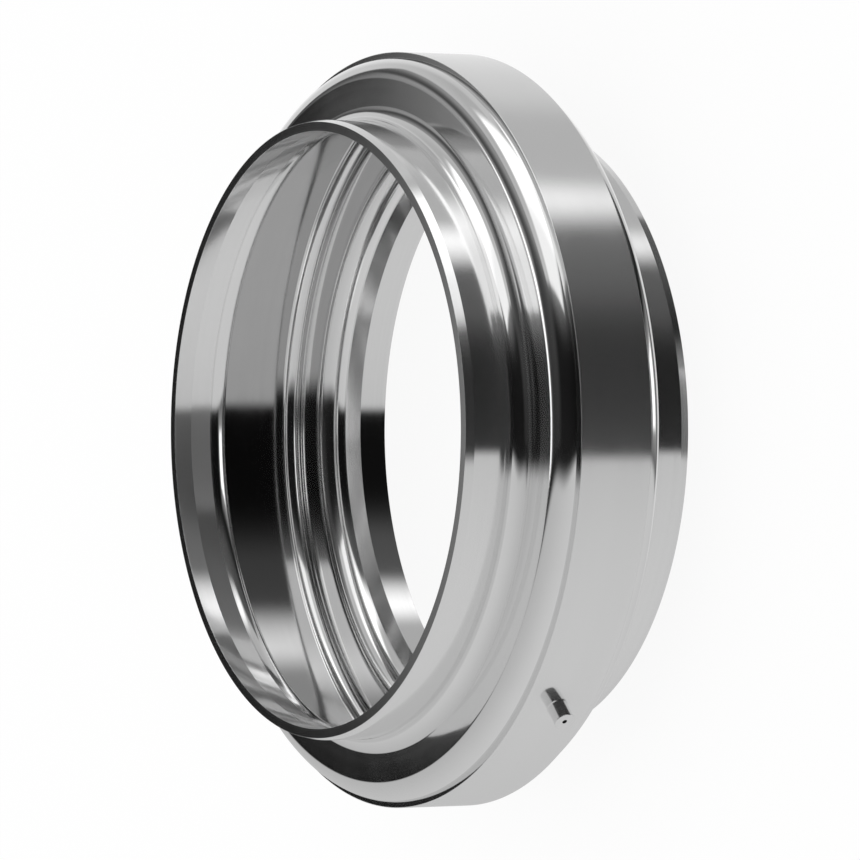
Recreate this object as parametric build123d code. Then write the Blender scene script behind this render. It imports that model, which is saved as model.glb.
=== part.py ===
from build123d import *
import math
import os

# A single-wave steel expansion joint for welding into a duct or flue pipe.
# It stands on its far end face, and the near end points up along +Z.
# Every profile is drawn as (radius, height) and turned about the Z axis.

# Driving dimensions, in millimetres
pipe_od = 323.9             # outside diameter of both weld ends
pipe_wall = 6.0
overall_length = 131.0      # face to face
band_od = 397.0
band_wall = 3.0
band_length = 41.0
shell_wall = 3.0            # plate of the two half shells
side_offset = 11.0          # flat side wall stands this far outside the band's edge
bend_inside = 8.3           # inside radius of every bend in the plate
weld_height = 41.8          # neck weld, from the crest plane
weld_face_half = 1.5        # half the weld's width on the outside
weld_root_half = 0.5        # and on the inside
weld_cap = 0.15             # the neck weld stands this far proud
chamfer_length = 4.7        # lead chamfer on the outside of each end
chamfer_depth = 1.1
near_bore_depth = 10.0      # straight bore before the taper, from the near face
far_bore_depth = 15.5
edge_break = 0.3
nipple_od = 10.5
nipple_bore = 2.5
nipple_reach = 10.4         # out from the band
nipple_angle = 225.0        # degrees from +X
nipple_weld_leg = 0.4

# Derived radii and heights, heights being counted from the crest plane
pipe_radius = pipe_od / 2
bore_radius = pipe_radius - pipe_wall
neck_radius = pipe_radius - shell_wall
band_radius = band_od / 2
skirt_radius = band_radius - band_wall
skirt_bore = skirt_radius - shell_wall
bend_outside = bend_inside + shell_wall
half_band = band_length / 2
wall_outer = half_band + side_offset
wall_inner = wall_outer - shell_wall
crest_centre = skirt_radius - bend_outside
root_centre = pipe_radius + bend_inside
crest_height = wall_outer - bend_outside
root_height = wall_outer + bend_inside
half_length = overall_length / 2


def turned(outline):
    """Ring made by turning a closed outline about the Z axis."""
    return revolve(Plane.XZ * make_face(outline), Axis.Z, 360)


def half_shell():
    """Upper half of the wave: skirt, crest bend, flat wall, root bend, neck."""
    outside = [
        Line((skirt_radius, weld_face_half), (skirt_radius, crest_height)),
        CenterArc((crest_centre, crest_height), bend_outside, 0, 90),
        Line((crest_centre, wall_outer), (root_centre, wall_outer)),
        CenterArc((root_centre, root_height), bend_inside, 180, 90),
        Line((pipe_radius, root_height), (pipe_radius, weld_height - weld_face_half)),
    ]
    neck_edge = Line(
        (pipe_radius, weld_height - weld_face_half),
        (neck_radius, weld_height - weld_root_half),
    )
    inside = [
        Line((neck_radius, weld_height - weld_root_half), (neck_radius, root_height)),
        CenterArc((root_centre, root_height), bend_outside, 180, 90),
        Line((root_centre, wall_inner), (crest_centre, wall_inner)),
        CenterArc((crest_centre, crest_height), bend_inside, 0, 90),
        Line((skirt_bore, crest_height), (skirt_bore, weld_root_half)),
    ]
    skirt_edge = Line((skirt_bore, weld_root_half), (skirt_radius, weld_face_half))
    return turned(outside + [neck_edge] + inside + [skirt_edge])


def weld_end(bore_depth):
    """Upper pipe end: lead chamfer outside, and a bore that tapers out to the neck."""
    outline = Polyline(
        (pipe_radius, weld_height + weld_face_half),
        (pipe_radius, half_length - chamfer_length),
        (pipe_radius - chamfer_depth, half_length),
        (bore_radius, half_length),
        (bore_radius, half_length - bore_depth),
        (neck_radius, weld_height + weld_root_half),
        close=True,
    )
    return turned(outline)


def neck_weld():
    """V weld between the neck and the pipe end, with a low rounded cap."""
    below = weld_height - weld_face_half
    above = weld_height + weld_face_half
    outline = [
        Line((neck_radius, weld_height - weld_root_half), (pipe_radius, below)),
        ThreePointArc(
            (pipe_radius, below),
            (pipe_radius + weld_cap, weld_height),
            (pipe_radius, above),
        ),
        Line((pipe_radius, above), (neck_radius, weld_height + weld_root_half)),
        Line(
            (neck_radius, weld_height + weld_root_half),
            (neck_radius, weld_height - weld_root_half),
        ),
    ]
    return turned(outline)


def crest_weld():
    """V weld that joins the two skirts, ground flush under the band."""
    outline = Polyline(
        (skirt_bore, -weld_root_half),
        (skirt_radius, -weld_face_half),
        (skirt_radius, weld_face_half),
        (skirt_bore, weld_root_half),
        close=True,
    )
    return turned(outline)


def band():
    """Plain ring shrunk over the crest, with broken outer edges."""
    outline = Polyline(
        (skirt_radius, -half_band),
        (band_radius - edge_break, -half_band),
        (band_radius, edge_break - half_band),
        (band_radius, half_band - edge_break),
        (band_radius - edge_break, half_band),
        (skirt_radius, half_band),
        close=True,
    )
    return turned(outline)


def nipple_plane(radius):
    """Plane square to the nipple's axis, at a given radius."""
    angle = math.radians(nipple_angle)
    outward = Vector(math.cos(angle), math.sin(angle), 0)
    return Plane(origin=outward * radius, z_dir=outward)


def radial_rod(diameter, inner, outer):
    """Round rod that lies along the nipple's own radius, between two radii."""
    return extrude(nipple_plane(inner) * Circle(diameter / 2), outer - inner)


def nipple_blank():
    """Set-on drain nipple before drilling, with its foot bevelled for the weld."""
    sink = band_wall / 2
    stub = radial_rod(nipple_od, band_radius - sink, band_radius + nipple_reach)
    foot = stub.edges().filter_by(GeomType.CIRCLE).sort_by_distance((0, 0, 0))[0]
    stub = chamfer(foot, nipple_weld_leg + sink)
    tip = stub.edges().filter_by(GeomType.CIRCLE).sort_by_distance((0, 0, 0))[-1]
    stub = chamfer(tip, edge_break)
    return stub - Cylinder(band_radius, band_length)


def nipple_weld():
    """Small fillet weld that fills the bevel, seated on the band's curve."""
    sink = band_wall / 2
    height = nipple_weld_leg + sink
    foot = nipple_plane(band_radius - sink) * Circle(nipple_od / 2 + height)
    bead = extrude(foot, height, taper=45)
    return bead - Cylinder(band_radius, band_length) - nipple_blank()


def drain_hole():
    """The small bore that runs through the nipple, the band and the crest."""
    margin = shell_wall
    return radial_rod(nipple_bore, skirt_bore - margin, band_radius + nipple_reach + margin)


def lower(piece):
    """The same piece for the far half."""
    return mirror(piece, Plane.XY)


drill = drain_hole()
pieces = {
    "near_weld_end": weld_end(near_bore_depth),
    "near_neck_weld": neck_weld(),
    "near_half_shell": half_shell() - drill,
    "crest_weld": crest_weld() - drill,
    "crest_band": band() - drill,
    "drain_nipple": nipple_blank() - drill,
    "nipple_weld": nipple_weld(),
    "far_half_shell": lower(half_shell()) - drill,
    "far_neck_weld": lower(neck_weld()),
    "far_weld_end": lower(weld_end(far_bore_depth)),
}

os.makedirs("parts", exist_ok=True)
for name, piece in pieces.items():
    placed = Pos(0, 0, half_length) * piece
    export_step(placed, f"parts/{name}.step")
    print(name, round(placed.volume / 1000, 1), "cm3")
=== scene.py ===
import bmesh
import bpy
import math
from mathutils import Matrix, Vector


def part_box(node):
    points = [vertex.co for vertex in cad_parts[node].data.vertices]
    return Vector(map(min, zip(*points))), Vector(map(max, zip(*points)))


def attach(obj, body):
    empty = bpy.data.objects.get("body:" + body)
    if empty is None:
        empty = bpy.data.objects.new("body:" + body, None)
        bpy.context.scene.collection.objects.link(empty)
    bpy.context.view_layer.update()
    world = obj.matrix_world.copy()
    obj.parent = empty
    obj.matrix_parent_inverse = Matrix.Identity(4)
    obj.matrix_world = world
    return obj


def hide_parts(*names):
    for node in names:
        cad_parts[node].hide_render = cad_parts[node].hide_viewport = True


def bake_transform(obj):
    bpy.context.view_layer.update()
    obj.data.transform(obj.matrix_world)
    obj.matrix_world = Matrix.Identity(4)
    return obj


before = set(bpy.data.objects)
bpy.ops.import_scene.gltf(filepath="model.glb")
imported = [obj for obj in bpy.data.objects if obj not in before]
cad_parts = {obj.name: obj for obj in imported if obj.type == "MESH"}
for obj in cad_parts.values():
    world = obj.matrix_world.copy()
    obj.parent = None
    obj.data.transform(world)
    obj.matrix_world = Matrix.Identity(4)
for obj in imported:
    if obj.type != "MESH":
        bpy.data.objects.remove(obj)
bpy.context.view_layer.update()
mm = 0.001
print("frame loaded:", len(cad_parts), "nodes")

# The camera comes first. It looks down on the joint and is rolled a quarter turn,
# so that the axis lies along the picture as it does in the photograph.
camera = {
    "elevation": 29.24,      # degrees above the floor, in front of the joint
    "distance": 3163 * mm,   # from the middle of the band's near edge
    "aimAside": 22.7 * mm,   # the picture's middle lies this far right of that point
    "focalLength": 251.8,
    "sensor": 36.0,          # mm, square
    "reach": 50,             # nothing further than this is drawn
}


def addCamera(settings, target):
    tilt = math.radians(settings["elevation"])
    back = Vector((0, -math.cos(tilt), math.sin(tilt)))
    up = Vector((1, 0, 0))
    right = up.cross(back)
    place = target + back * settings["distance"]
    aim = target + right * settings["aimAside"]
    back = (place - aim).normalized()
    right = up.cross(back)
    data = bpy.data.cameras.new("camera")
    data.sensor_width = settings["sensor"]
    data.lens = settings["focalLength"]
    data.clip_end = settings["reach"]
    made = bpy.data.objects.new("camera", data)
    made.matrix_world = Matrix((right, up, back)).transposed().to_4x4()
    made.location = place
    bpy.context.scene.collection.objects.link(made)
    bpy.context.scene.camera = made


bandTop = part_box("crest_band")[1].z
addCamera(camera, Vector((0, 0, bandTop)))
print("camera set")


# Shape tools. An outline is a loop of corners, in metres: radius, height, fillet, and then the
# number of the finish on the side that starts there, which is 0, the outside's, if left out.
ringSegments = 384             # round the axis
filletStep = math.radians(6)   # turn of one step of a fillet
fewestSteps = 3                # in a fillet
sharpAngle = math.radians(30)  # edges that turn by more stay sharp


def roundedOutline(corners):
    corners = [corner if len(corner) == 4 else (*corner, 0) for corner in corners]
    outline = []
    for i, (radius, height, fillet, finish) in enumerate(corners):
        here = Vector((radius, height))
        if fillet == 0:
            outline.append((here, finish))
            continue
        before = (Vector(corners[i - 1][:2]) - here).normalized()
        after = (Vector(corners[(i + 1) % len(corners)][:2]) - here).normalized()
        half = before.angle(after) / 2
        centre = here + (before + after).normalized() * fillet / math.sin(half)
        start = here + before * fillet / math.tan(half) - centre
        end = here + after * fillet / math.tan(half) - centre
        turn = start.angle_signed(end)
        steps = max(fewestSteps, math.ceil(abs(turn) / filletStep))
        for step in range(steps + 1):
            point = centre + Matrix.Rotation(-turn * step / steps, 2) @ start
            outline.append((point, finish if step == steps else corners[i - 1][3]))
    return outline


def shadeSmooth(mesh):
    mesh.shade_smooth()
    mesh.set_sharp_from_angle(angle=sharpAngle)


def newPiece(name, bm):
    bmesh.ops.recalc_face_normals(bm, faces=bm.faces)
    mesh = bpy.data.meshes.new(name)
    bm.to_mesh(mesh)
    bm.free()
    shadeSmooth(mesh)
    made = bpy.data.objects.new(name, mesh)
    bpy.context.scene.collection.objects.link(made)
    return made


def turnedRing(name, corners, segments=ringSegments, place=None):
    outline = roundedOutline(corners)
    bm = bmesh.new()
    loops = []
    for i in range(segments):
        spin = Matrix.Rotation(2 * math.pi * i / segments, 3, "Z")
        loops.append([bm.verts.new(spin @ Vector((point.x, 0, point.y))) for point, finish in outline])
    for i, loop in enumerate(loops):
        following = loops[(i + 1) % segments]
        for j in range(len(loop)):
            k = (j + 1) % len(loop)
            face = bm.faces.new((loop[j], loop[k], following[k], following[j]))
            face.material_index = outline[j][1]
    if place:
        bm.transform(place)
    return newPiece(name, bm)


# Long flat faces keep their true normals beside small fillets, or reflections bend there.
def evenNormals(piece):
    weighted = piece.modifiers.new("true normals", "WEIGHTED_NORMAL")
    weighted.weight = 100
    weighted.keep_sharp = True


def applyModifiers(piece):
    evaluated = piece.evaluated_get(bpy.context.evaluated_depsgraph_get())
    piece.data = bpy.data.meshes.new_from_object(evaluated)
    piece.modifiers.clear()


def drill(piece, tool):
    cut = piece.modifiers.new("drill", "BOOLEAN")
    cut.object = tool
    cut.solver = "EXACT"
    applyModifiers(piece)
    shadeSmooth(piece.data)


# What the CAD frame says about the rings
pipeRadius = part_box("near_weld_end")[1].x
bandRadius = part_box("crest_band")[1].x
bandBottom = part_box("crest_band")[0].z
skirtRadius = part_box("near_half_shell")[1].x
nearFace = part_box("near_weld_end")[1].z
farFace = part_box("far_weld_end")[0].z
crestPlane = (bandTop + bandBottom) / 2
nearWeldMiddle = sum(corner.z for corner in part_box("near_neck_weld")) / 2

# Half shells: pressed plate of even thickness with the same bends at root and crest
shell = {
    "wall": 3.0 * mm,
    "bend": 8.3 * mm,         # inside radius of each bend
    "sideOffset": 11.0 * mm,  # flat wall stands this far outside the band's edge
    "weldFace": 1.5 * mm,     # half width of a seam on the outside
    "weldRoot": 0.5 * mm,     # and on the inside
}
shellBore = skirtRadius - shell["wall"]
neckRadius = pipeRadius - shell["wall"]
outerBend = shell["bend"] + shell["wall"]


# A ring is drawn for the near side. Its side is 1 there, and -1 turns it over to the far side.
def mirrored(corners, side):
    return [(radius, crestPlane + side * (height - crestPlane), *rest) for radius, height, *rest in corners]


def halfShell(name, side):
    wallTop = bandTop + shell["sideOffset"]
    corners = [
        (skirtRadius, crestPlane + shell["weldFace"], 0),
        (skirtRadius, wallTop, outerBend),
        (pipeRadius, wallTop, shell["bend"]),
        (pipeRadius, nearWeldMiddle - shell["weldFace"], 0),
        (neckRadius, nearWeldMiddle - shell["weldRoot"], 0),
        (neckRadius, wallTop - shell["wall"], outerBend),
        (shellBore, wallTop - shell["wall"], shell["bend"], 1),
        (shellBore, crestPlane + shell["weldRoot"], 0),
    ]
    return turnedRing(name, mirrored(corners, side))


# Weld ends: turned pipe ends, chamfered outside and tapered inside
weldEnd = {
    "wall": 6.0 * mm,
    "chamferLength": 4.7 * mm,
    "chamferDepth": 1.1 * mm,
    "nearBore": 10.0 * mm,    # straight bore before the taper
    "farBore": 15.5 * mm,
    "edge": 0.12 * mm,
}


def pipeEnd(name, side, boreDepth):
    boreRadius = pipeRadius - weldEnd["wall"]
    edge = weldEnd["edge"]
    corners = [
        (pipeRadius, nearWeldMiddle + shell["weldFace"], 0),
        (pipeRadius, nearFace - weldEnd["chamferLength"], edge),
        (pipeRadius - weldEnd["chamferDepth"], nearFace, edge, 2),
        (boreRadius, nearFace, edge, 1),
        (boreRadius, nearFace - boreDepth, edge, 1),
        (neckRadius, nearWeldMiddle + shell["weldRoot"], 0),
    ]
    return turnedRing(name, mirrored(corners, side))


# Neck welds: dressed almost flush, with a low crown
neckWeld = {
    "crown": 0.03 * mm,
    "toe": 0.6 * mm,          # fillet that eases the crown into the pipe
}


def neckWeldRing(name, side):
    crown = pipeRadius + neckWeld["crown"]
    corners = [
        (pipeRadius, nearWeldMiddle - shell["weldFace"], 0),
        (crown, nearWeldMiddle - shell["weldFace"] / 2, neckWeld["toe"]),
        (crown, nearWeldMiddle + shell["weldFace"] / 2, neckWeld["toe"]),
        (pipeRadius, nearWeldMiddle + shell["weldFace"], 0),
        (neckRadius, nearWeldMiddle + shell["weldRoot"], 0),
        (neckRadius, nearWeldMiddle - shell["weldRoot"], 0),
    ]
    return turnedRing(name, mirrored(corners, side))


# Crest band: plain rolled ring with broken edges, and the seam it hides
crestBand = {
    "edge": 0.35 * mm,
}


def bandRing(name):
    edge = crestBand["edge"]
    return turnedRing(name, [
        (skirtRadius, bandBottom, 0, 1),
        (bandRadius, bandBottom, edge),
        (bandRadius, bandTop, edge, 1),
        (skirtRadius, bandTop, 0),
    ])


def crestSeam(name):
    return turnedRing(name, [
        (shellBore, crestPlane - shell["weldRoot"], 0),
        (skirtRadius, crestPlane - shell["weldFace"], 0),
        (skirtRadius, crestPlane + shell["weldFace"], 0),
        (shellBore, crestPlane + shell["weldRoot"], 0),
    ])


# Drain nipple: a set-on stub with a bevelled foot in a small fillet weld
nipple = {
    "angle": 225.0,           # degrees from +X
    "radius": 5.25 * mm,
    "bore": 1.25 * mm,        # radius too
    "reach": 10.4 * mm,       # out from the band
    "weldLeg": 0.4 * mm,
    "sink": 1.5 * mm,         # the foot starts this far inside the band's surface
    "edge": 0.3 * mm,
    "segments": 96,
    "boreSegments": 48,
}
nippleFoot = bandRadius - nipple["sink"]
nippleBevel = bandRadius + nipple["weldLeg"]
footRadius = nipple["radius"] - (nippleBevel - nippleFoot)
weldRadius = nipple["radius"] + (nippleBevel - nippleFoot)


# Turns a piece built along +Z so that it points out along the nipple's radius
def outAlong(angle):
    turn = Matrix.Rotation(math.radians(angle), 4, "Z") @ Matrix.Rotation(math.radians(90), 4, "Y")
    return Matrix.Translation(Vector((0, 0, crestPlane))) @ turn


def nippleStub(name):
    tip = bandRadius + nipple["reach"]
    return turnedRing(name, [
        (nipple["bore"], nippleFoot, 0),
        (footRadius, nippleFoot, 0),
        (nipple["radius"], nippleBevel, 0),
        (nipple["radius"], tip, nipple["edge"]),
        (nipple["bore"], tip, nipple["edge"] / 2),
    ], nipple["segments"], outAlong(nipple["angle"]))


def nippleBead(name):
    return turnedRing(name, [
        (footRadius, nippleFoot, 0),
        (weldRadius, nippleFoot, 0),
        (nipple["radius"], nippleBevel, 0),
    ], nipple["segments"], outAlong(nipple["angle"]))


def drillBit(name):
    low = shellBore - shell["wall"]
    high = bandRadius + nipple["reach"] / 2
    radius = nipple["bore"]
    bm = bmesh.new()
    bmesh.ops.create_cone(bm, cap_ends=True, segments=nipple["boreSegments"],
                          radius1=radius, radius2=radius, depth=high - low)
    bm.transform(outAlong(nipple["angle"]) @ Matrix.Translation(Vector((0, 0, (low + high) / 2))))
    return newPiece(name, bm)


bit = drillBit("drill_bit")
pieces = {
    "near_weld_end": pipeEnd("turned_near_end", 1, weldEnd["nearBore"]),
    "far_weld_end": pipeEnd("turned_far_end", -1, weldEnd["farBore"]),
    "near_neck_weld": neckWeldRing("dressed_near_weld", 1),
    "far_neck_weld": neckWeldRing("dressed_far_weld", -1),
    "near_half_shell": halfShell("pressed_near_shell", 1),
    "far_half_shell": halfShell("pressed_far_shell", -1),
    "crest_weld": crestSeam("ground_crest_weld"),
    "crest_band": bandRing("rolled_band"),
    "drain_nipple": nippleStub("turned_nipple"),
    "nipple_weld": nippleBead("nipple_fillet_weld"),
}
for node in ("near_half_shell", "far_half_shell", "crest_weld", "crest_band"):
    drill(pieces[node], bit)
bpy.data.objects.remove(bit)
for node, piece in pieces.items():
    evenNormals(piece)
    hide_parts(node)
print("pieces shaped:", len(pieces))

# Each rigid piece rides on its body. The half shells flex between two bodies, so they ride on none.
riders = {
    "far_end": ("far_weld_end", "far_neck_weld"),
    "crest": ("crest_weld", "crest_band", "drain_nipple", "nipple_weld"),
    "near_end": ("near_weld_end", "near_neck_weld"),
}
for body, nodes in riders.items():
    for node in nodes:
        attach(pieces[node], body)


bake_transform(pieces["near_half_shell"])
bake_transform(pieces["far_half_shell"])
print("pieces placed on their bodies")


# Materials
def linearColour(hexCode):
    channels = [int(hexCode[i:i + 2], 16) / 255 for i in (1, 3, 5)]
    return [c / 12.92 if c <= 0.04045 else ((c + 0.055) / 1.055) ** 2.4 for c in channels] + [1]


# Adds one node. Settings go to its properties or its sockets, and links are {socket: source}.
def addNode(tree, kind, settings=None, links=None, output=0):
    node = tree.nodes.new(kind)
    for key, value in (settings or {}).items():
        if isinstance(key, str) and hasattr(node, key):
            setattr(node, key, value)
        else:
            node.inputs[key].default_value = value
    for key, source in (links or {}).items():
        tree.links.new(source, node.inputs[key])
    return node.outputs[output] if node.outputs else None


def newTree(block):
    block.use_nodes = True
    block.node_tree.nodes.clear()
    return block.node_tree


# Stainless steel, worked round the axis. Every finish has rings at constant radius and height:
# fine tool marks that tilt the surface a little, and wider bands that are a little duller, with
# clouds from handling mixed in. The haze is the share of light that marks too fine to draw
# scatter widely, which makes a soft glow by bright edges.
steel = {
    "hazeRoughness": 0.5,
    "bandDetail": 3.0,
    "markDetail": 1.0,
    "cloudDetail": 4.0,
    "cloudRoughness": 0.6,
    "patternRange": (0.3, 0.7),     # where most of the noise lies
    "roughnessShares": (1.2, 0.8),  # of the finish's own, in its dark and its light bands
}


def stainless(name, finish):
    material = bpy.data.materials.new(name)
    tree = newTree(material)
    place = addNode(tree, "ShaderNodeTexCoord", output="Object")
    flat = addNode(tree, "ShaderNodeVectorMath", {"operation": "MULTIPLY", 1: (1, 1, 0)}, {0: place})
    radius = addNode(tree, "ShaderNodeVectorMath", {"operation": "LENGTH"}, {0: flat}, "Value")
    height = addNode(tree, "ShaderNodeSeparateXYZ", links={0: place}, output="Z")
    ringPlace = addNode(tree, "ShaderNodeCombineXYZ", links={"X": radius, "Y": height})
    bands = addNode(tree, "ShaderNodeTexNoise", {
        "noise_dimensions": "2D", "Scale": 1 / finish["bandWidth"], "Detail": steel["bandDetail"],
    }, {"Vector": ringPlace})
    marks = addNode(tree, "ShaderNodeTexNoise", {
        "noise_dimensions": "2D", "Scale": 1 / finish["markPitch"], "Detail": steel["markDetail"],
    }, {"Vector": ringPlace})
    clouds = addNode(tree, "ShaderNodeTexNoise", {
        "Scale": 1 / finish["cloudSize"],
        "Detail": steel["cloudDetail"], "Roughness": steel["cloudRoughness"],
    }, {"Vector": place})
    mixed = addNode(tree, "ShaderNodeMix", {
        "data_type": "FLOAT", "Factor": finish["cloudShare"],
    }, {"A": bands, "B": clouds})
    colour = addNode(tree, "ShaderNodeMix", {
        "data_type": "RGBA", 6: linearColour(finish["dark"]), 7: linearColour(finish["light"]),
    }, {0: mixed}, 2)
    roughness = addNode(tree, "ShaderNodeMapRange", {
        "From Min": steel["patternRange"][0], "From Max": steel["patternRange"][1],
        "To Min": finish["roughness"] * steel["roughnessShares"][0],
        "To Max": finish["roughness"] * steel["roughnessShares"][1],
    }, {"Value": mixed})
    bump = addNode(tree, "ShaderNodeBump", {
        "Strength": finish["markStrength"], "Distance": finish["markDepth"],
    }, {"Height": marks})
    clear = addNode(tree, "ShaderNodeBsdfPrincipled", {
        "Metallic": 1.0,
    }, {"Base Color": colour, "Roughness": roughness, "Normal": bump})
    hazy = addNode(tree, "ShaderNodeBsdfPrincipled", {
        "Metallic": 1.0, "Roughness": steel["hazeRoughness"],
    }, {"Base Color": colour})
    surface = addNode(tree, "ShaderNodeMixShader", {0: finish["haze"]}, {1: clear, 2: hazy})
    addNode(tree, "ShaderNodeOutputMaterial", links={"Surface": surface})
    return material


# Lathe-turned outside of the ends: bright, with the closest rings. A real feed mark is 0.1 mm wide,
# too fine to show, so the marks are drawn six times as coarse, and so are those of the next two.
turnedFinish = {
    "light": "#F6F6F6", "dark": "#EFEFEF", "roughness": 0.09, "haze": 0.10,
    "bandWidth": 3 * mm, "cloudSize": 40 * mm, "cloudShare": 0.3,
    "markPitch": 0.6 * mm, "markDepth": 0.0008 * mm, "markStrength": 0.5,
}
# Near bore: the tool left more marks there, so its blacks are grey. Its colour is also drawn a little
# lighter than the other finishes': painted light, for the light the bore catches from across it.
boredFinish = {
    "light": "#FAFAFA", "dark": "#F4F4F4", "roughness": 0.10, "haze": 0.30,
    "bandWidth": 2 * mm, "cloudSize": 30 * mm, "cloudShare": 0.3,
    "markPitch": 0.6 * mm, "markDepth": 0.0008 * mm, "markStrength": 0.08,
}
# Nipple, end faces and the far bore: turned and polished, so their blacks are deep.
polishedFinish = {
    "light": "#F2F2F2", "dark": "#EAEAEA", "roughness": 0.09, "haze": 0.00,
    "bandWidth": 2 * mm, "cloudSize": 10 * mm, "cloudShare": 0.3,
    "markPitch": 0.6 * mm, "markDepth": 0.0008 * mm, "markStrength": 0.3,
}
# Pressed shells, buffed outside: the smoothest face, slightly cloudy where the plate was drawn.
# Buffing lines are drawn coarser than they are, to show.
buffedFinish = {
    "light": "#F6F6F6", "dark": "#EEEEEE", "roughness": 0.09, "haze": 0.00,
    "bandWidth": 6 * mm, "cloudSize": 30 * mm, "cloudShare": 0.6,
    "markPitch": 1.2 * mm, "markDepth": 0.0008 * mm, "markStrength": 0.2,
}
# Inside the crest the plate is drawn greyer. This is painted shade: the joint's own shadow on the table
# below, as the inside would reflect it.
millFinish = {
    "light": "#BEBEBE", "dark": "#B5B5B5", "roughness": 0.09, "haze": 0.00,
    "bandWidth": 5 * mm, "cloudSize": 20 * mm, "cloudShare": 0.6,
    "markPitch": 1.2 * mm, "markDepth": 0.0008 * mm, "markStrength": 0.15,
}
# Rolled and ground band: even, with wide, very faint grinding bands. Its lines are drawn coarser too.
rolledFinish = {
    "light": "#F4F4F4", "dark": "#EEEEEE", "roughness": 0.11, "haze": 0.20,
    "bandWidth": 8 * mm, "cloudSize": 60 * mm, "cloudShare": 0.4,
    "markPitch": 1.0 * mm, "markDepth": 0.0006 * mm, "markStrength": 0.4,
}
# Welds ground down with a flap wheel: a little duller than what they join. Scratches drawn coarser.
weldFinish = {
    "light": "#EEEEEE", "dark": "#E4E4E4", "roughness": 0.12, "haze": 0.10,
    "bandWidth": 1.5 * mm, "cloudSize": 6 * mm, "cloudShare": 0.5,
    "markPitch": 0.6 * mm, "markDepth": 0.001 * mm, "markStrength": 0.6,
}
turnedSteel = stainless("turned stainless steel", turnedFinish)
boredSteel = stainless("bored stainless steel", boredFinish)
polishedSteel = stainless("turned and polished stainless steel", polishedFinish)
buffedSteel = stainless("pressed and buffed stainless steel", buffedFinish)
# The greyer plate paints the shade inside the crest.
millSteel = stainless("stainless plate with painted shade", millFinish)
rolledSteel = stainless("rolled and ground stainless steel", rolledFinish)
weldSteel = stainless("ground stainless weld", weldFinish)

# For each piece: its slot in the record, then its finishes in the order that the outlines number
# them. On a ring, 0 is the outside, 1 the inside or the band's end faces, and 2 a weld end's face.
finishes = {
    "near_weld_end": ("turned_steel", turnedSteel, boredSteel, polishedSteel),
    "far_weld_end": ("turned_steel", turnedSteel, polishedSteel, polishedSteel),
    "drain_nipple": ("turned_steel", polishedSteel),
    # The shells' insides and the crest weld carry the painted shade inside the crest.
    "near_half_shell": ("pressed_steel", buffedSteel, millSteel),
    "far_half_shell": ("pressed_steel", buffedSteel, millSteel),
    "crest_band": ("rolled_steel", rolledSteel, polishedSteel),
    "near_neck_weld": ("weld_steel", weldSteel),
    "far_neck_weld": ("weld_steel", weldSteel),
    "crest_weld": ("weld_steel", millSteel),
    "nipple_weld": ("weld_steel", weldSteel),
}
for node, (slot, *used) in finishes.items():
    for material in used:
        pieces[node].data.materials.append(material)
print("materials made")

# Studio. The photograph shows the joint stood on its side, so for the reflections the studio's up is +X.
# It is a room seen only by reflections: a white ceiling panel, dark walls at the front and sides with a
# softbox on each side, a pale wall behind, and a grey table. Angles are in degrees: height is counted
# from level, and the way round from the camera, to either side. The panel's edges are in units of its
# height over the joint. A brightness of 1 is white.
studio = {
    "up": (1, 0, 0),
    "toward": (0, -0.8726, 0.4885),      # from the joint to the camera
    "right": (0, -0.4885, -0.8726),
}


def radiansOf(*angles):
    return [math.radians(angle) for angle in angles]


# Walls at the front and sides: dark, and a little lighter at the top
walls = {
    "front": 0.005,           # brightness low in front of the joint
    "side": 0.020,            # added at the left
    "sideStart": (25, 50),    # over which the left side starts
    "rise": 3.6,              # times as bright at the top of the left side
    "high": 0.19,             # added at the top
    "top": 38.0,              # height at which that is in full
    "topPower": 7.0,          # how closely it keeps to the top
    "rightShade": 0.85,       # share of it that the right wall lacks
    "leftStart": 0.1,         # what is only at the left fades in this close to the middle
    "leftTop": -1.03,         # the side walls end here, in the panel's units
    "rightTop": 0.76,
    "topSoft": 0.09,
    "end": 133.0,             # way round at which the back wall takes over
    "endSoft": 1.5,
    "recess": 0.005,          # brightness of the left wall's dark end and skirting
    "recessStart": (120.9, 121.6),
    "recessTop": (4.0, 7.0),  # heights between which the dark end fades out
    "skirting": (-3.05, -2.6),
}


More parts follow.
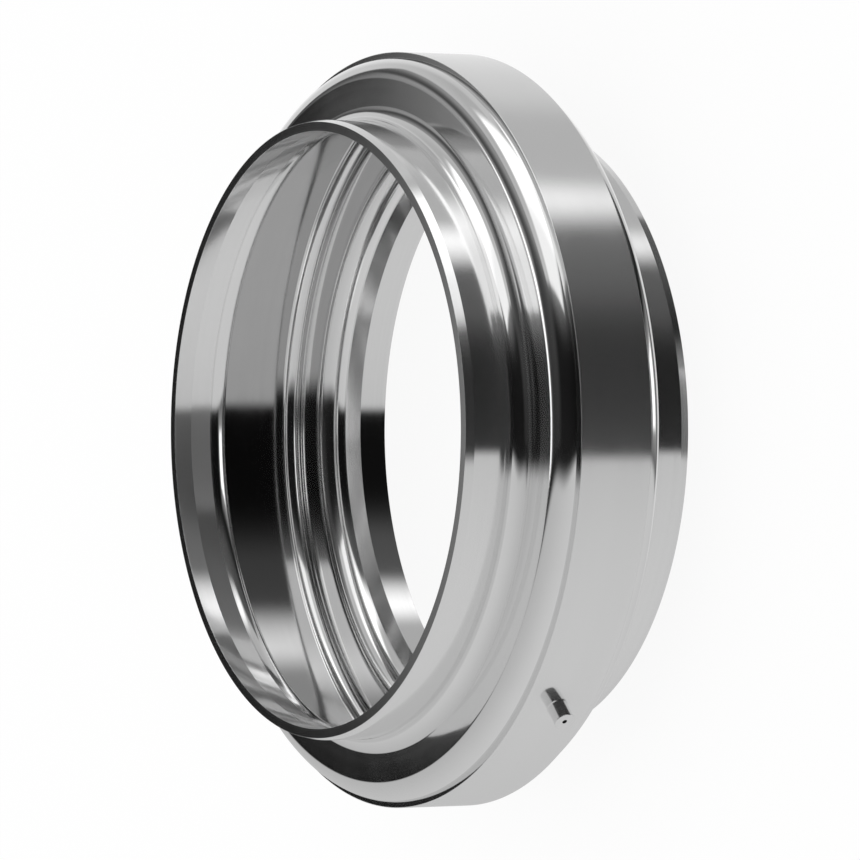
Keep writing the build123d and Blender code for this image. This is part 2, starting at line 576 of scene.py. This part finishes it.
def wallLight(tree, right, height, around):
    atTop = addNode(tree, "ShaderNodeMapRange", {
        "interpolation_type": "SMOOTHSTEP", "From Min": 0.0, "From Max": math.radians(walls["top"]),
    }, {"Value": height})
    atTop = addNode(tree, "ShaderNodeMath", {"operation": "POWER", 1: walls["topPower"]}, {0: atTop})
    topLight = addNode(tree, "ShaderNodeMapRange", {
        "To Min": walls["high"], "To Max": walls["high"] * (1 - walls["rightShade"]),
    }, {"Value": right})
    atLeft = addNode(tree, "ShaderNodeMapRange", {
        "From Min": walls["leftStart"], "From Max": -walls["leftStart"],
    }, {"Value": right})
    sideStart, sideFull = radiansOf(*walls["sideStart"])
    side = addNode(tree, "ShaderNodeMapRange", {
        "interpolation_type": "SMOOTHSTEP", "From Min": sideStart, "From Max": sideFull,
        "To Min": 0.0, "To Max": walls["side"],
    }, {"Value": around})
    side = addNode(tree, "ShaderNodeMath", {"operation": "MULTIPLY"}, {0: side, 1: atLeft})
    rise = addNode(tree, "ShaderNodeMapRange", {
        "From Max": math.radians(walls["top"]), "To Min": 1.0, "To Max": walls["rise"],
    }, {"Value": height})
    wall = addNode(tree, "ShaderNodeMath", {
        "operation": "MULTIPLY_ADD", 2: walls["front"],
    }, {0: side, 1: rise})
    wall = addNode(tree, "ShaderNodeMath", {
        "operation": "MULTIPLY_ADD",
    }, {0: atTop, 1: topLight, 2: wall})
    wall = softboxLight(tree, wall, right, height, around)
    recessStart, recessFull = radiansOf(*walls["recessStart"])
    recessed = addNode(tree, "ShaderNodeMapRange", {
        "From Min": recessStart, "From Max": recessFull,
    }, {"Value": around})
    under = {}
    for edge in ("recessTop", "skirting"):
        low, high = radiansOf(*walls[edge])
        under[edge] = addNode(tree, "ShaderNodeMapRange", {
            "From Min": high, "From Max": low,
        }, {"Value": height})
    recessed = addNode(tree, "ShaderNodeMath", {
        "operation": "MULTIPLY",
    }, {0: recessed, 1: under["recessTop"]})
    recessed = addNode(tree, "ShaderNodeMath", {
        "operation": "MAXIMUM",
    }, {0: recessed, 1: under["skirting"]})
    recessed = addNode(tree, "ShaderNodeMath", {"operation": "MULTIPLY"}, {0: recessed, 1: atLeft})
    return addNode(tree, "ShaderNodeMix", {"B": walls["recess"]}, {"Factor": recessed, "A": wall})


# A softbox on each side, with its glow on the wall round it
softbox = {
    "bright": 1.3,
    "middle": (101.0, 5.8),   # way round and height
    "half": (11.3, 7.4),
    "lean": (-1.2, -1.8, 0),  # the right box stands this much further back and higher
    "edge": 0.15,             # softness, as a share of the half size
    "glow": 0.27,             # brightness of the wall round it
    "glowShift": 4.5,         # the glow lies this far behind its box
    "glowReach": 2.4,         # and ends at this many half sizes
}


def softboxLight(tree, wall, right, height, around):
    place = addNode(tree, "ShaderNodeCombineXYZ", links={"X": around, "Y": height})
    place = addNode(tree, "ShaderNodeVectorMath", {
        "operation": "MULTIPLY_ADD", 1: radiansOf(*softbox["lean"]),
    }, {0: right, 2: place})
    distances = []
    for shift in (0, softbox["glowShift"]):
        middle = radiansOf(softbox["middle"][0] + shift, softbox["middle"][1], 0)
        half = radiansOf(*softbox["half"]) + [1]
        offset = addNode(tree, "ShaderNodeVectorMath", {"operation": "SUBTRACT", 1: middle}, {0: place})
        offset = addNode(tree, "ShaderNodeVectorMath", {"operation": "DIVIDE", 1: half}, {0: offset})
        offset = addNode(tree, "ShaderNodeVectorMath", {"operation": "ABSOLUTE"}, {0: offset})
        split = addNode(tree, "ShaderNodeSeparateXYZ", links={0: offset}).node.outputs
        distances.append(addNode(tree, "ShaderNodeMath", {
            "operation": "MAXIMUM",
        }, {0: split["X"], 1: split["Y"]}))
    glow = addNode(tree, "ShaderNodeMapRange", {
        "interpolation_type": "SMOOTHSTEP", "From Min": 1.0, "From Max": softbox["glowReach"],
        "To Min": softbox["glow"], "To Max": 0.0,
    }, {"Value": distances[1]})
    wall = addNode(tree, "ShaderNodeMath", {"operation": "ADD"}, {0: wall, 1: glow})
    inBox = addNode(tree, "ShaderNodeMapRange", {
        "interpolation_type": "SMOOTHSTEP",
        "From Min": 1 + softbox["edge"], "From Max": 1 - softbox["edge"],
    }, {"Value": distances[0]})
    return addNode(tree, "ShaderNodeMix", {"B": softbox["bright"]}, {"Factor": inBox, "A": wall})


# Back wall: pale, and brightest in its middle
backWall = {
    "low": 0.86,              # brightness near the table
    "high": 0.56,             # and high up
    "rise": (12, 60),         # heights between which it dims
    "side": 0.80,             # share of its light that is left at its sides
    "spread": (165, 145),     # ways round between which it dims
}


def backLight(tree, height, around):
    riseStart, riseEnd = radiansOf(*backWall["rise"])
    back = addNode(tree, "ShaderNodeMapRange", {
        "From Min": riseStart, "From Max": riseEnd,
        "To Min": backWall["low"], "To Max": backWall["high"],
    }, {"Value": height})
    spreadStart, spreadEnd = radiansOf(*backWall["spread"])
    spread = addNode(tree, "ShaderNodeMapRange", {
        "interpolation_type": "SMOOTHSTEP", "From Min": spreadStart, "From Max": spreadEnd,
        "To Min": 1.0, "To Max": backWall["side"],
    }, {"Value": around})
    return addNode(tree, "ShaderNodeMath", {"operation": "MULTIPLY"}, {0: back, 1: spread})


# Ceiling panel, drawn in its own plane, over the walls and the back wall
panel = {
    "bright": 1.40,
    "rim": 0.98,              # brightness along the front edge
    "rimAt": (0.25, 0.70),    # it falls to that between these places
    "front": 1.30,            # the four edges
    "left": -0.50,
    "right": 0.73,
    "back": -0.11,
    "softFront": 0.07,        # half width of each edge's blur
    "softLeft": 0.10,
    "softRight": 0.16,
    "softBack": 0.10,
    "leastUp": 0.001,         # keeps the panel's plane from running off to infinity
}


def upperLight(tree, up, toward, right, height, around):
    wall = wallLight(tree, right, height, around)
    back = backLight(tree, height, around)
    safeUp = addNode(tree, "ShaderNodeMath", {"operation": "MAXIMUM", 1: panel["leastUp"]}, {0: up})
    along = addNode(tree, "ShaderNodeMath", {"operation": "DIVIDE"}, {0: toward, 1: safeUp})
    across = addNode(tree, "ShaderNodeMath", {"operation": "DIVIDE"}, {0: right, 1: safeUp})
    edges = {
        "front": (along, panel["front"], panel["softFront"]),
        "back": (along, panel["back"], -panel["softBack"]),
        "left": (across, panel["left"], -panel["softLeft"]),
        "right": (across, panel["right"], panel["softRight"]),
        "leftTop": (across, walls["leftTop"], -walls["topSoft"]),
        "rightTop": (across, walls["rightTop"], walls["topSoft"]),
    }
    inside = {}
    for edge, (value, middle, soft) in edges.items():
        inside[edge] = addNode(tree, "ShaderNodeMapRange", {
            "interpolation_type": "SMOOTHSTEP", "From Min": middle + soft, "From Max": middle - soft,
        }, {"Value": value})
    onPanel = inside["front"]
    for edge in ("back", "left", "right"):
        onPanel = addNode(tree, "ShaderNodeMath", {"operation": "MULTIPLY"}, {0: onPanel, 1: inside[edge]})
    overWalls = inside["front"]
    for edge in ("leftTop", "rightTop"):
        overWalls = addNode(tree, "ShaderNodeMath", {
            "operation": "MULTIPLY",
        }, {0: overWalls, 1: inside[edge]})
    pastWalls = addNode(tree, "ShaderNodeMapRange", {
        "interpolation_type": "SMOOTHSTEP",
        "From Min": math.radians(walls["end"] - walls["endSoft"]),
        "From Max": math.radians(walls["end"] + walls["endSoft"]),
    }, {"Value": around})
    onBack = addNode(tree, "ShaderNodeMath", {"operation": "MAXIMUM"}, {0: overWalls, 1: pastWalls})
    upper = addNode(tree, "ShaderNodeMix", links={"Factor": onBack, "A": wall, "B": back})
    ceiling = addNode(tree, "ShaderNodeMapRange", {
        "interpolation_type": "SMOOTHSTEP",
        "From Min": panel["rimAt"][0], "From Max": panel["rimAt"][1],
        "To Min": panel["bright"], "To Max": panel["rim"],
    }, {"Value": along})
    return addNode(tree, "ShaderNodeMix", links={"Factor": onPanel, "A": upper, "B": ceiling})


# Table: grey, and a little lighter below the joint
table = {
    "near": 0.53,             # brightness at the horizon
    "below": 0.61,            # and straight below
    "lean": 0.10,             # brighter by this share at the right, duller at the left
    "horizon": -6.6,
    "dip": 6.8,               # the horizon is lower by this much in front
    "dipPower": 4.0,          # how closely the dip keeps to the front
    "soft": 1.7,              # half width of the horizon's blur
    "blur": 1.8,              # and how much wider it is in front, as a share
}


def tableLight(tree, up, right):
    light = addNode(tree, "ShaderNodeMapRange", {
        "From Min": 0.0, "From Max": -1.0, "To Min": table["near"], "To Max": table["below"],
    }, {"Value": up})
    lean = addNode(tree, "ShaderNodeMath", {
        "operation": "MULTIPLY_ADD", 1: table["lean"], 2: 1.0,
    }, {0: right})
    return addNode(tree, "ShaderNodeMath", {"operation": "MULTIPLY"}, {0: light, 1: lean})


# 1 above the table's horizon and 0 below it
def overHorizon(tree, toward, height):
    dip = addNode(tree, "ShaderNodeMath", {"operation": "MAXIMUM", 1: 0.0}, {0: toward})
    dip = addNode(tree, "ShaderNodeMath", {"operation": "POWER", 1: table["dipPower"]}, {0: dip})
    over = addNode(tree, "ShaderNodeMath", {
        "operation": "MULTIPLY_ADD", 1: math.radians(table["dip"]),
    }, {0: dip, 2: height})
    over = addNode(tree, "ShaderNodeMath", {
        "operation": "SUBTRACT", 1: math.radians(table["horizon"]),
    }, {0: over})
    blur = addNode(tree, "ShaderNodeMath", {
        "operation": "MULTIPLY_ADD", 1: table["blur"], 2: 1.0,
    }, {0: dip})
    over = addNode(tree, "ShaderNodeMath", {"operation": "DIVIDE"}, {0: over, 1: blur})
    return addNode(tree, "ShaderNodeMapRange", {
        "interpolation_type": "SMOOTHSTEP",
        "From Min": -math.radians(table["soft"]), "From Max": math.radians(table["soft"]),
    }, {"Value": over})


# Only reflections see the room. The camera sees white, and the floor is lit by an even white.
def studioLight():
    world = bpy.data.worlds.new("studio")
    bpy.context.scene.world = world
    tree = newTree(world)
    ray = addNode(tree, "ShaderNodeTexCoord", output="Generated")
    up, toward, right = [
        addNode(tree, "ShaderNodeVectorMath", {
            "operation": "DOT_PRODUCT", 1: studio[way],
        }, {0: ray}, "Value")
        for way in ("up", "toward", "right")
    ]
    sideways = addNode(tree, "ShaderNodeMath", {"operation": "ABSOLUTE"}, {0: right})
    height = addNode(tree, "ShaderNodeMath", {"operation": "ARCSINE"}, {0: up})
    around = addNode(tree, "ShaderNodeMath", {"operation": "ARCTAN2"}, {0: sideways, 1: toward})
    upper = upperLight(tree, up, toward, right, height, around)
    lower = tableLight(tree, up, right)
    isUpper = overHorizon(tree, toward, height)
    room = addNode(tree, "ShaderNodeMix", links={"Factor": isUpper, "A": lower, "B": upper})
    isGlossy = addNode(tree, "ShaderNodeLightPath", output="Is Glossy Ray")
    strength = addNode(tree, "ShaderNodeMix", {"A": 1.0}, {"Factor": isGlossy, "B": room})
    background = addNode(tree, "ShaderNodeBackground", {"Color": (1, 1, 1, 1)}, {"Strength": strength})
    addNode(tree, "ShaderNodeOutputWorld", links={"Surface": background})


studioLight()

# White floor, just under the far face. Reflections see the table in its place.
floorCard = {
    "colour": "#FAFAFA",
    "halfSize": 15,           # metres
    "gap": 0.2 * mm,
    "cameraShare": 0.9,       # share of its white that the camera alone sees, so the shadow stays faint
}


# Card coated matt white: it has no gloss, and is an even white to the eye.
def whiteCard(name):
    material = bpy.data.materials.new(name)
    tree = newTree(material)
    matt = addNode(tree, "ShaderNodeBsdfDiffuse", {"Color": linearColour(floorCard["colour"])})
    white = addNode(tree, "ShaderNodeEmission", {"Color": (1, 1, 1, 1), "Strength": 1.0})
    isCamera = addNode(tree, "ShaderNodeLightPath", output="Is Camera Ray")
    share = addNode(tree, "ShaderNodeMath", {
        "operation": "MULTIPLY", 1: floorCard["cameraShare"],
    }, {0: isCamera})
    surface = addNode(tree, "ShaderNodeMixShader", links={0: share, 1: matt, 2: white})
    addNode(tree, "ShaderNodeOutputMaterial", links={"Surface": surface})
    return material


def addFloor(name):
    bm = bmesh.new()
    bmesh.ops.create_grid(bm, size=floorCard["halfSize"])
    bm.transform(Matrix.Translation(Vector((0, 0, farFace - floorCard["gap"]))))
    made = newPiece(name, bm)
    made.visible_glossy = False
    made.data.materials.append(whiteCard("matt white card"))
    return made


addFloor("floor")
bpy.context.scene.view_settings.view_transform = "Standard"
print("studio lit")
